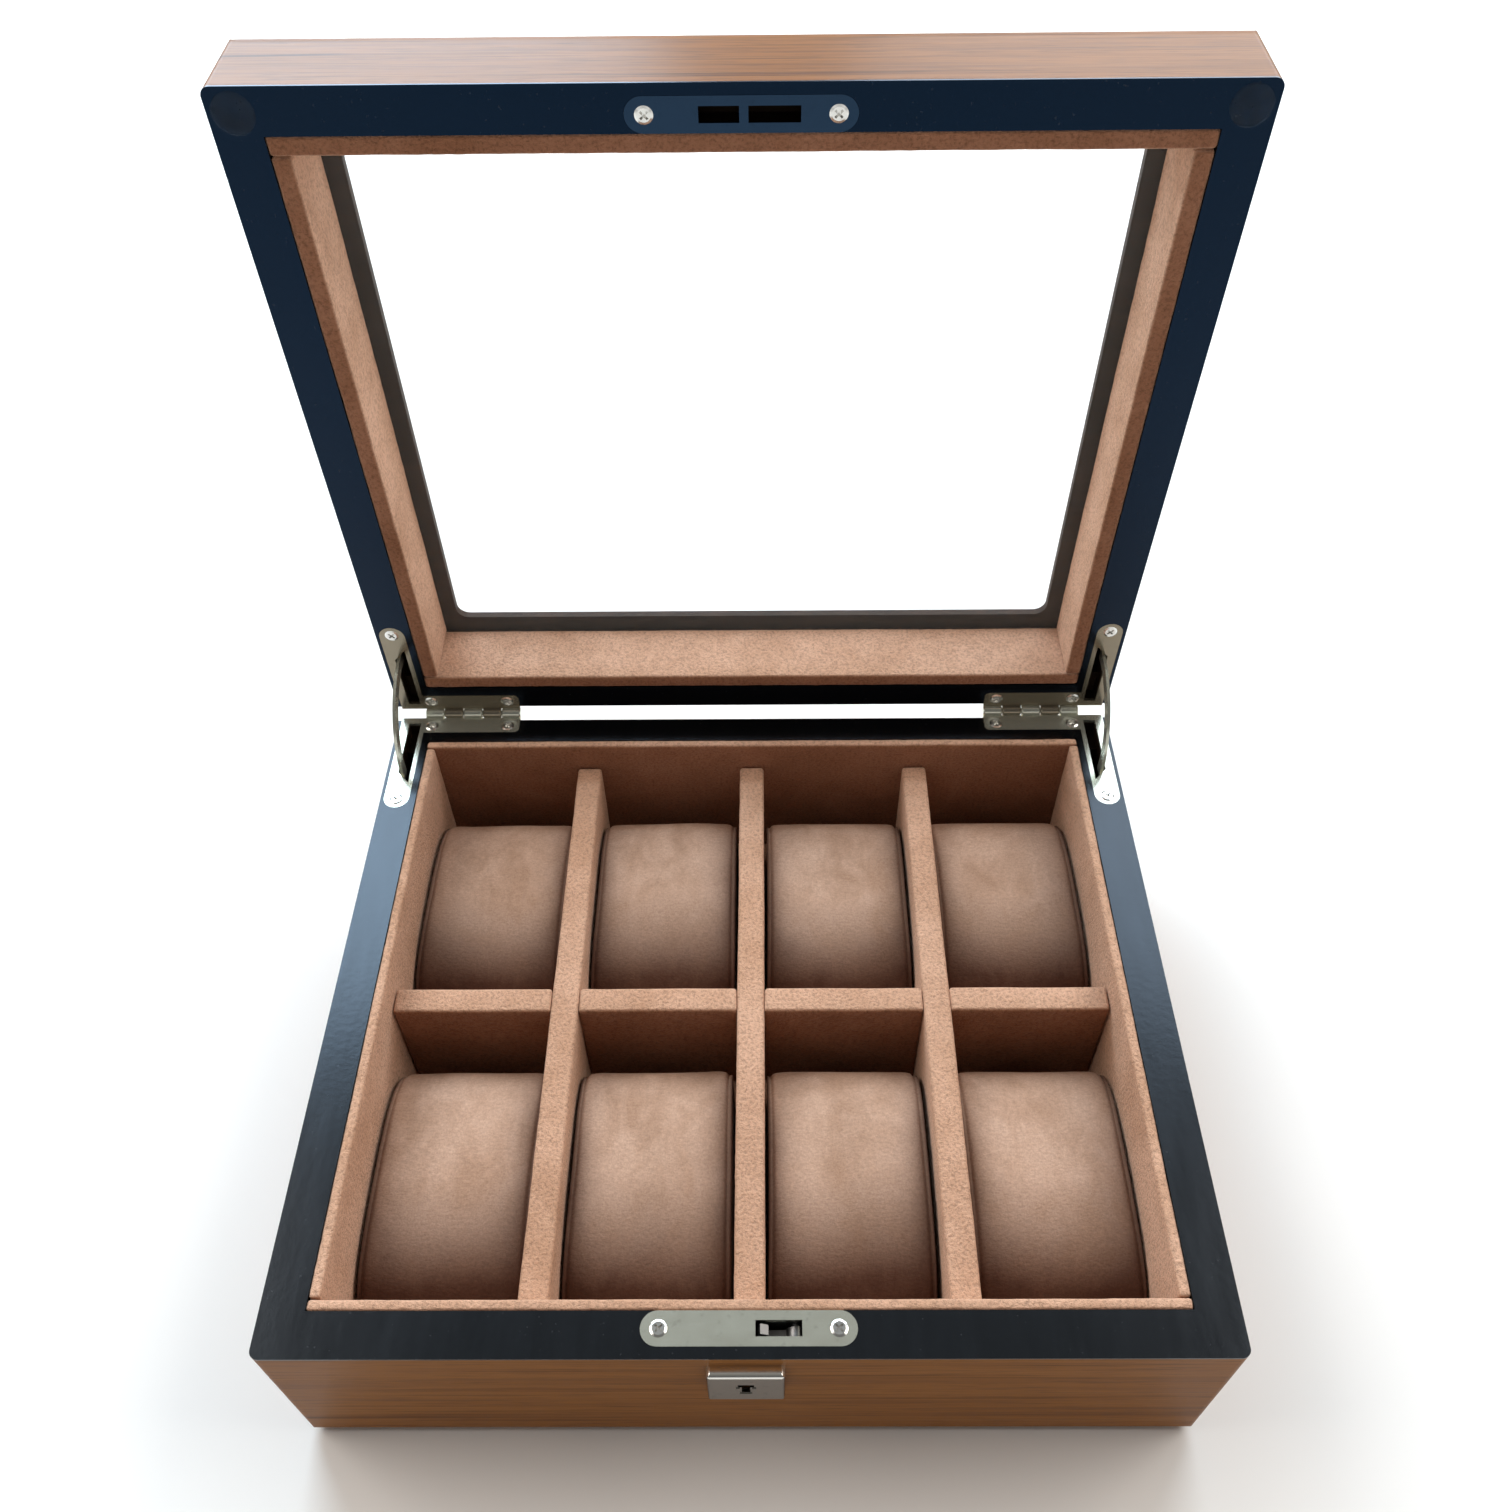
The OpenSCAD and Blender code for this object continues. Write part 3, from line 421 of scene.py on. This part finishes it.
def darken_hollows(node, lid):
    """The faces in the pockets for the lock, the stays and the screws get a near-black copy of the
    veneer: painted shade.
    """
    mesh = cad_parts[node].data
    mesh.materials.append(PAINTED_HOLLOW_SHADE)
    back = OPEN_LID.inverted() if lid else Matrix.Identity(4)
    size = Vector(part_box("base_rim")[1])
    for face in mesh.polygons:
        at = back @ face.center
        depth = min(size.x - abs(at.x), size.y - abs(at.y))
        square = max(abs(c) for c in face.normal) > 0.95
        if depth > (SKIN if square else ROUNDED_SKIN) and (lid or at.z > FOOT_Z):
            face.material_index = len(mesh.materials) - 1


for wall_side in ("front", "back", "left", "right"):
    darken_hollows(f"base_{wall_side}_wall", False)
    darken_hollows(f"lid_{wall_side}_wall", True)


def dress_window_frame():
    """Veneer outside, and the dark ring on the faces that look into the lid and into the opening."""
    dress("lid_top_frame", FRAME_GRAIN, RING)
    lo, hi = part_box("lid_top_frame")
    middle = (lo + hi) / 2
    border_x = hi.x - span("glass_pane", 0)[1]
    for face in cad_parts["lid_top_frame"].data.polygons:
        reach_x = hi.x - abs(face.center.x)
        reach_z = (hi.z - lo.z) / 2 - abs(face.center.z - middle.z)
        edge_on = abs(face.normal.y) < 0.5
        inside = edge_on and min(reach_x, reach_z) > border_x - 1 * MM
        face.material_index = 1 if inside or face.normal.y < -0.5 else 0


dress_window_frame()


# ---------------------------------------------------------------- pieces

def new_piece(name, bm, material):
    bmesh.ops.recalc_face_normals(bm, faces=bm.faces)
    mesh = bpy.data.meshes.new(name)
    bm.to_mesh(mesh)
    bm.free()
    for face in mesh.polygons:
        face.use_smooth = True
    mesh.materials.append(material)
    made = bpy.data.objects.new(name, mesh)
    bpy.context.scene.collection.objects.link(made)
    return made


SWAY = 0.12 * MM             # how far a board's velvet wanders from flat
WAVES, TUFTS = 45, 420       # the pitch of its long waves and of its tufts, per metre
LONG = 60 * MM               # sides longer than this are cut finely enough to show it
FINE, COARSE = 3 * MM, 9 * MM


def soft_board(name, lo, hi, radius, pose=None):
    """A board wrapped in velvet: rounded edges, and faces that are very slightly uneven."""
    bm = bmesh.new()
    bmesh.ops.create_cube(bm, size=1.0)
    size = Vector(hi) - Vector(lo)
    centre = (Vector(hi) + Vector(lo)) / 2
    for v in bm.verts:
        v.co = Vector(c * s for c, s in zip(v.co, size)) + centre
    for axis in range(3):
        steps = int(size[axis] / (FINE if size[axis] > LONG else COARSE))
        for n in range(1, steps):
            at = lo[axis] + size[axis] * n / steps
            normal = Vector((0, 0, 0))
            normal[axis] = 1
            where = centre.copy()
            where[axis] = at
            bmesh.ops.bisect_plane(bm, geom=bm.verts[:] + bm.edges[:] + bm.faces[:],
                                   plane_co=where, plane_no=normal)
    sharp = [e for e in bm.edges if len(e.link_faces) == 2 and e.calc_face_angle(0) > 1]
    bmesh.ops.bevel(bm, geom=sharp, offset=radius, segments=4, profile=0.5, affect="EDGES")
    seed = sum(ord(c) for c in name)
    for v in bm.verts:
        wave = noise.noise_vector(v.co * WAVES + Vector((seed, 0, 0)))
        tuft = noise.noise_vector(v.co * TUFTS + Vector((0, seed, 0)))
        v.co += Vector(wave) * SWAY + Vector(tuft) * SWAY
    if pose is not None:
        bm.transform(pose)
    return new_piece(name, bm, VELVET)


def cover(node, name, body, radius, shut=None):
    """Stands a velvet board where a CAD board is. A board of the lid is built shut and posed open."""
    lo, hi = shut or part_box(node)
    board = soft_board(name, lo, hi, radius, OPEN_LID if shut else None)
    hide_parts(node)
    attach(board, body)


def closed_box(node):
    """The box of one of the lid's nodes with the lid shut."""
    back = OPEN_LID.inverted()
    points = [back @ v.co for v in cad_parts[node].data.vertices]
    lo = Vector(min(p[i] for p in points) for i in range(3))
    hi = Vector(max(p[i] for p in points) for i in range(3))
    return lo, hi


BASE_BOARD_R, LID_BOARD_R, DIVIDER_R = 1.1 * MM, 1.2 * MM, 1.3 * MM
for side in ("front", "back", "left", "right"):
    cover(f"base_lining_{side}", f"velvet_base_{side}", "base", BASE_BOARD_R)
    lid_board = f"lid_lining_{side}"
    cover(lid_board, f"velvet_lid_{side}", "lid", LID_BOARD_R, closed_box(lid_board))
for place in ("left", "centre", "right"):
    cover(f"divider_{place}", f"velvet_divider_{place}", "base", DIVIDER_R)


def cross_divider():
    """The cross divider shows as four lengths between the long dividers."""
    lo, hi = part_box("divider_cross")
    edges = [lo.x]
    for place in ("left", "centre", "right"):
        edges += span(f"divider_{place}", 0)
    edges.append(hi.x)
    joint = 0.15 * MM
    for n in range(4):
        a = Vector((edges[2 * n] + joint, lo.y, lo.z))
        b = Vector((edges[2 * n + 1] - joint, hi.y, hi.z))
        part = soft_board(f"velvet_cross_{n + 1}", a, b, DIVIDER_R)
        if n == 0:
            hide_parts("divider_cross")
        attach(part, "base")


cross_divider()


# ---------------------------------------------------------------- cushions

AROUND = 96              # points round a cushion's section
ALONG = 24               # stations from end to end
WAIST = 0.38             # height of the widest part, as a share of the cushion's
CROWN, FOOT = 2.7, 4.5   # how square the section is above the waist and below it
AXIS = 0.42              # height of the axis that the seams are pulled towards
GATHER = 0.45 * MM       # how deep the suede gathers at the seams
GATHER_REACH = 5 * MM
ROUGH = 0.55             # unevenness of the suede, in mm
ROUGH_FROM = 10 * MM     # distance from the ends at which it is all there
END_DEPTH = 0.5 * MM     # how far the middle of an end lies behind its edge
END_PULL = 1.0 * MM
END_RINGS = (0.25, 0.5, 0.75, 0.92)
# from the end, in metres: where a ring stands and how far it is pulled in towards the axis
SEAM_PROFILE = [(x * MM, pull * MM) for x, pull in
                ((0.3, 1.2), (0.8, 1.1), (1.75, 1.9), (2.2, 0.95), (3.0, 0.35), (4.5, 0.1))]
SHOULDER = 4.5 * MM
PIPING_R = 0.8 * MM
PIPING_OUT = 0.85        # how far the tube stands out of the seam, in radii
PIPING_SIDES = 10
SIM_SCALE = 8            # the cloth solver is happier with a larger cushion
SIM_FRAMES = 20
PRESSURE = 2.0
PUFF = 1.0 * MM          # how far the filling may push a point out
SMOOTHINGS = 6
SIDE_ROOM, FOOT_ROOM, TOP_ROOM = 0.5, 0.15, 0.6 * MM     # left free round the cage; the first two in mm
FOOT_HELD = 1.2 * MM     # the sole lies flat up to here
HEADROOM = 0.9 * MM      # how far the top may rise above the cage
# how far the painted shade reaches from the seams: at the back, at most, and its growth to the front;
# wider on the right, which the light from the left leaves darker
LEFT_SEAM_SHADE = (0.6 * MM, 4.2 * MM, 9 * MM)
RIGHT_SEAM_SHADE = (2.8 * MM, 7.0 * MM, 9 * MM)
SEAM_SHADE_GROWS_FROM = 0.15    # share of the depth, from the back, where that growth starts
SEAM_SHADE = 0.9
SEAM_WIDTH = 1.2 * MM
# low on the front the painted shade darkens the suede between these distances from the cushion's front
LOW_FROM = 49 * MM
LOW_TO = 11 * MM


def section(angle, lo, hi):
    """A point of the cushion's section in (y, z): a full, nearly square crown above a boxy foot."""
    c, s = math.cos(angle), math.sin(angle)
    half = (hi.y - lo.y) / 2
    waist = lo.z + WAIST * (hi.z - lo.z)
    power, rise = (CROWN, hi.z - waist) if s >= 0 else (FOOT, waist - lo.z)
    reach = (abs(c) ** power + abs(s) ** power) ** (-1 / power)
    return (lo.y + hi.y) / 2 + half * reach * c, waist + rise * reach * s


def cushion_cage(lo, hi, seed):
    """Rings from end to end, and smaller ones on the flat ends.

    Returns the mesh, the points that the simulation holds and the two seams.
    """
    bm = bmesh.new()
    end = hi.x - lo.x
    inner = [SHOULDER + (end - 2 * SHOULDER) * n / ALONG for n in range(1, ALONG)]
    start = [x for x, _ in SEAM_PROFILE]
    stations = start + inner + [end - x for x in reversed(start)]
    pulls = [pull for _, pull in SEAM_PROFILE]
    pulls = pulls + [0.0] * len(inner) + pulls[::-1]
    axis_y = (lo.y + hi.y) / 2
    axis_z = lo.z + AXIS * (hi.z - lo.z)

    def ring(x, pull, shrink=1.0):
        made = []
        from_end = min(x, end - x)
        for n in range(AROUND):
            y, z = section(2 * math.pi * (n + 0.5) / AROUND, lo, hi)
            out = Vector((0, y - axis_y, z - axis_z))
            gather = noise.noise(Vector((seed * 5.3 + (x > end / 2), y * 260, z * 260)))
            tuck = pull + abs(gather) * GATHER * math.exp(-from_end / GATHER_REACH)
            out = out * shrink - out.normalized() * tuck
            made.append(bm.verts.new((lo.x + x, axis_y + out.y, axis_z + out.z)))
        return made

    rings = [ring(END_DEPTH * shrink, END_PULL, shrink) for shrink in END_RINGS]
    rings += [ring(x, pull) for x, pull in zip(stations, pulls)]
    rings += [ring(end - END_DEPTH * shrink, END_PULL, shrink) for shrink in reversed(END_RINGS)]
    for a, b in zip(rings, rings[1:]):
        for n in range(AROUND):
            m = (n + 1) % AROUND
            bm.faces.new((a[n], a[m], b[m], b[n]))
    bm.faces.new(rings[0][::-1])
    bm.faces.new(rings[-1])
    for v in bm.verts:
        inside = min(v.co.x - lo.x, hi.x - v.co.x) / ROUGH_FROM
        rough = noise.noise_vector(v.co * 38 + Vector((seed * 3.7, seed, 0)))
        v.co += Vector(rough) * ROUGH * MM * max(0.0, min(1.0, inside))
    bm.verts.ensure_lookup_table()
    first, count = len(END_RINGS), len(SEAM_PROFILE)
    held = [rings[first + k] for k in range(count)] + [rings[-1 - first - k] for k in range(count)]
    seams = [[v.index for v in rings[k]] for k in (first + 1, len(rings) - first - 2)]
    return bm, [v.index for row in held for v in row], seams


def evened(own, others):
    return (own + sum(others, Vector())) / (1 + len(others))


def simulate(obj, pinned, pressure, cap):
    """Blows the cushion up with the cloth solver, then keeps each point within cap of its start."""
    mesh = obj.data
    start = [v.co.copy() for v in mesh.vertices]
    centre = sum(start, Vector()) / len(start)
    grow = Matrix.Scale(SIM_SCALE, 4) @ Matrix.Translation(-centre)
    mesh.transform(grow)
    group = obj.vertex_groups.new(name="pinned")
    group.add(pinned, 1.0, "REPLACE")
    modifier = obj.modifiers.new("cloth", "CLOTH")
    cloth = modifier.settings
    cloth.use_pressure = True
    cloth.uniform_pressure_force = pressure
    cloth.quality = 6
    cloth.tension_stiffness = 12
    cloth.compression_stiffness = 12
    cloth.bending_stiffness = 1.2
    cloth.vertex_group_mass = "pinned"
    cloth.effector_weights.gravity = 0
    scene = bpy.context.scene
    for step in range(1, SIM_FRAMES + 1):
        scene.frame_set(step)
    solved = obj.evaluated_get(bpy.context.evaluated_depsgraph_get()).data
    moved = [v.co.copy() for v in solved.vertices]
    obj.modifiers.remove(modifier)
    scene.frame_set(1)
    back = grow.inverted()
    shifts = [back @ now - was for was, now in zip(start, moved)]
    held = set(pinned)
    near = [[] for _ in shifts]
    for a, b in (edge.vertices for edge in mesh.edges):
        near[a].append(b)
        near[b].append(a)
    for _ in range(SMOOTHINGS):
        shifts = [own if n in held else evened(own, [shifts[m] for m in near[n]])
                  for n, own in enumerate(shifts)]
    for v, was, shift in zip(mesh.vertices, start, shifts):
        if shift.length > cap:
            shift = shift * (cap / shift.length)
        v.co = was + shift
    obj.vertex_groups.clear()
    mesh.update()


def piping(name, points, centre, radius):
    """A tube round the seam, standing a little out of it."""
    bm = bmesh.new()
    count = len(points)
    rings = []
    for n, p in enumerate(points):
        ahead = (points[(n + 1) % count] - points[n - 1]).normalized()
        out = Vector((0, p.y - centre.y, p.z - centre.z))
        out = (out - ahead * out.dot(ahead)).normalized()
        side = ahead.cross(out)
        middle = p + out * radius * PIPING_OUT
        rings.append([bm.verts.new(middle + (out * math.cos(a) + side * math.sin(a)) * radius)
                      for a in (2 * math.pi * k / PIPING_SIDES for k in range(PIPING_SIDES))])
    for n in range(count):
        a, b = rings[n], rings[(n + 1) % count]
        for k in range(PIPING_SIDES):
            m = (k + 1) % PIPING_SIDES
            bm.faces.new((a[k], a[m], b[m], b[k]))
    return new_piece(name, bm, PIPING)


def paint_cushion_shade(mesh, lo, hi, seed):
    """Writes the painted shade attribute: 1 at the seams and low on the front, 0 in the open."""
    painted_shade = mesh.attributes.new("painted_shade", "FLOAT", "POINT")
    for v in mesh.vertices:
        from_end = min(v.co.x - lo.x, hi.x - v.co.x)
        ahead = (hi.y - v.co.y) / (hi.y - lo.y)
        least, most, slope = LEFT_SEAM_SHADE if v.co.x < (lo.x + hi.x) / 2 else RIGHT_SEAM_SHADE
        reach = min(most, least + slope * max(0.0, ahead - SEAM_SHADE_GROWS_FROM))
        reach *= 1 + 0.5 * noise.noise(Vector((seed * 2.3, v.co.y * 55, v.co.x * 8)))
        sag = noise.noise(Vector((v.co.x * 30, seed * 4.1, 0))) * 6 * MM
        low_front = (LOW_FROM - (v.co.y - lo.y) - sag) / (LOW_FROM - LOW_TO)
        low_front = max(0.0, min(1.0, low_front))
        by_seam = SEAM_SHADE * math.exp(-max(0.0, from_end - SEAM_WIDTH) / reach)
        painted_shade.data[v.index].value = 1 - (1 - by_seam) * (1 - low_front)


def stuff_cushion(node, seed):
    lo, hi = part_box(node)
    lo = Vector(lo)
    hi = Vector(hi)
    margin = Vector((0.0, SIDE_ROOM, FOOT_ROOM)) * MM
    lo += margin
    hi -= Vector((margin.x, margin.y, TOP_ROOM))
    bm, pinned, seams = cushion_cage(lo, hi, seed)
    body = new_piece(node.replace("cushion", "suede_cushion"), bm, SUEDE)
    pinned += [v.index for v in body.data.vertices if v.co.z < lo.z + FOOT_HELD]
    simulate(body, pinned, PRESSURE, PUFF)
    top = hi.z + HEADROOM
    for v in body.data.vertices:
        v.co.z = min(max(v.co.z, lo.z), top)
        v.co.x = min(max(v.co.x, lo.x), hi.x)
    paint_cushion_shade(body.data, lo, hi, seed)
    centre = (lo + hi) / 2
    centre.z = lo.z + AXIS * (hi.z - lo.z)
    tubes = []
    for side, seam in zip(("left", "right"), seams):
        points = [body.data.vertices[n].co.copy() for n in seam]
        tube = piping(f"{body.name}_piping_{side}", points, centre, PIPING_R)
        tube.modifiers.new("round", "SUBSURF").levels = 1
        tubes.append(tube)
    smooth = body.modifiers.new("round", "SUBSURF")
    smooth.levels = 1
    smooth.render_levels = 1
    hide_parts(node)
    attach(body, node)
    for tube in tubes:
        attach(tube, node)


for number, cushion_node in enumerate(CUSHIONS):
    stuff_cushion(cushion_node, number + 1)


# ---------------------------------------------------------------- stage, light and camera

FLOOR_HALF = 6.0         # metres
FLOOR_DROP = 0.02 * MM   # keeps the floor out of the felt


def stage_floor():
    bm = bmesh.new()
    bmesh.ops.create_grid(bm, x_segments=8, y_segments=8, size=FLOOR_HALF)
    for v in bm.verts:
        v.co.z = -FLOOR_DROP
    f = Finish("floor", Roughness=0.9, Specular_IOR_Level=0.1)
    f.colour(f.ramp(f.noise(f.place(), 3, 2), (0.3, (0.88, 0.855, 0.82)), (0.7, (0.91, 0.885, 0.85))))
    floor = new_piece("floor", bm, f.mat)


def area_light(name, place, aim, size, radiance, colour):
    """radiance is what a mirror would show, where 1 is white."""
    data = bpy.data.lights.new(name, "AREA")
    data.shape = "RECTANGLE"
    data.size = size[0]
    data.size_y = size[1]
    data.energy = radiance * math.pi * size[0] * size[1]
    data.color = colour
    lamp = bpy.data.objects.new(name, data)
    bpy.context.scene.collection.objects.link(lamp)
    lamp.location = place
    lamp.rotation_mode = "QUATERNION"
    lamp.rotation_quaternion = (Vector(aim) - Vector(place)).to_track_quat("-Z", "Y")


BACK_GLOW = (0.42, 0.45, 0.48, 1)        # what the room adds behind the box
BACK_GLOW_FROM, BACK_GLOW_TO = 0.15, 0.75


def sky():
    """A pale horizon, a darker band above it, and a glow from the back."""
    world = bpy.data.worlds.new("studio")
    bpy.context.scene.world = world
    world.use_nodes = True
    nodes, link = world.node_tree.nodes, world.node_tree.links.new
    where = nodes.new("ShaderNodeTexCoord")
    split = nodes.new("ShaderNodeSeparateXYZ")
    ramp = nodes.new("ShaderNodeValToRGB")
    bar = ramp.color_ramp.elements
    bar[0].position = 0.0
    bar[0].color = (0.9, 0.9, 0.9, 1)
    bar[1].position = 1.0
    bar[1].color = (0.2, 0.195, 0.185, 1)
    for at, grey in ((0.16, 0.9), (0.34, 0.09), (0.8, 0.12)):
        bar.new(at).color = (grey, grey, grey, 1)
    back = nodes.new("ShaderNodeMapRange")
    back.inputs["From Min"].default_value = BACK_GLOW_FROM
    back.inputs["From Max"].default_value = BACK_GLOW_TO
    lift = nodes.new("ShaderNodeMix")
    lift.data_type = "RGBA"
    lift.blend_type = "ADD"
    live(lift.inputs, "B").default_value = BACK_GLOW
    link(where.outputs["Generated"], split.inputs["Vector"])
    link(split.outputs["Z"], ramp.inputs["Fac"])
    link(split.outputs["Y"], back.inputs["Value"])
    link(back.outputs["Result"], live(lift.inputs, "Factor"))
    link(ramp.outputs["Color"], live(lift.inputs, "A"))
    link(live(lift.outputs, "Result"), nodes["Background"].inputs["Color"])
    nodes["Background"].inputs["Strength"].default_value = 1.0


CAMERA_AT = Vector((6.03, -260.47, 498.07)) * MM
PITCH, TURN, ROLL = 48.87, -0.64, -0.76       # degrees
SENSOR, LENS = 36, 32.17                      # mm


def camera():
    """The viewpoint: above the front edge, looking down and back, with a slight turn and roll."""
    pitch, turn, roll = (math.radians(a) for a in (PITCH, TURN, ROLL))
    ahead = Vector((math.sin(turn) * math.cos(pitch), math.cos(turn) * math.cos(pitch), -math.sin(pitch)))
    right = Vector((math.cos(turn), -math.sin(turn), 0))
    up = right.cross(ahead)
    tilted_right = right * math.cos(roll) + up * math.sin(roll)
    tilted_up = up * math.cos(roll) - right * math.sin(roll)
    data = bpy.data.cameras.new("camera")
    data.sensor_width = SENSOR
    data.lens = LENS
    data.clip_start = 0.01
    data.clip_end = 50
    made = bpy.data.objects.new("camera", data)
    bpy.context.scene.collection.objects.link(made)
    axes = Matrix((tilted_right, tilted_up, -ahead)).transposed().to_4x4()
    made.matrix_world = Matrix.Translation(CAMERA_AT) @ axes
    bpy.context.scene.camera = made


BOX_MIDDLE = (0, 0, 0.1)
FLOOR_MIDDLE = (0, 0, 0)
# place, aim, size in metres, radiance and colour
LIGHTS = {
    "window_left": ((-0.84, 2.09, 1.30), BOX_MIDDLE, (1.39, 1.25), 9.5, (0.7, 0.86, 1.0)),
    "window_right": ((0.84, 2.09, 1.30), BOX_MIDDLE, (1.39, 1.25), 5.5, (0.85, 0.93, 1.0)),
    "sky_left": ((-0.6, 1.47, 1.95), BOX_MIDDLE, (1.2, 0.5), 7.5, (0.66, 0.84, 1.0)),
    "sky_right": ((0.6, 1.47, 1.95), BOX_MIDDLE, (1.2, 0.5), 4.4, (0.72, 0.86, 1.0)),
    "side_left": ((-1.45, 0.26, 1.64), FLOOR_MIDDLE, (1.3, 1.1), 4.4, (1.0, 0.95, 0.9)),
    "side_right": ((1.45, 0.26, 1.64), FLOOR_MIDDLE, (1.3, 1.1), 4.4, (1.0, 0.95, 0.9)),
}

stage_floor()
sky()
for light_name, settings in LIGHTS.items():
    area_light(light_name, *settings)
camera()
bpy.context.scene.view_settings.view_transform = "Standard"
